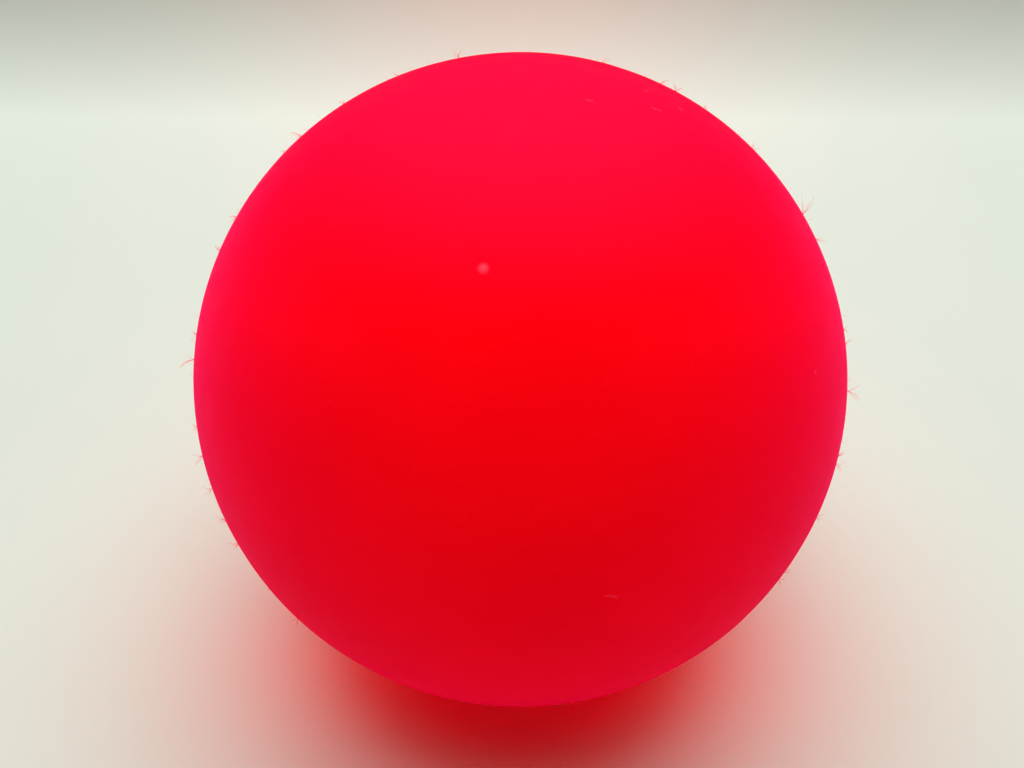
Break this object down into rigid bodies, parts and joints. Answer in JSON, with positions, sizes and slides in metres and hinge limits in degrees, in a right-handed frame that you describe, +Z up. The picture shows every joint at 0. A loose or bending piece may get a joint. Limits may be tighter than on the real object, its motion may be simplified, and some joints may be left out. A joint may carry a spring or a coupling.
{
  "type": "soft pickleball",
  "caption": "Palm-sized red ball with a satin elastomer skin in bonded halves over a foam core, closed by small pole plugs; a quiet indoor practice ball.",
  "frame": {"origin": "centre of the ball", "axes": "+Z up, the ball resting on its lowest point at -Z; -Y towards the viewer of the picture; the mould axis leans from +Z towards -Y by 35 degrees and turns towards -X by 8.85 degrees, so that the gate faces the viewer"},
  "size_m": [0.074, 0.0738, 0.0738],
  "materials": {
    "skin": "satin, slightly tacky moulded red elastomer",
    "plug": "satin red elastomer, paler at the nib",
    "bond": "cured flexible adhesive",
    "foam": "fine-celled flexible foam"
  },
  "bodies": {
    "root": {"upper_skin": "skin", "lower_skin": "skin", "seam_bond": "bond", "foam_core": "foam", "fill_plug": "plug", "vent_plug": "plug"}
  },
  "joints": []
}
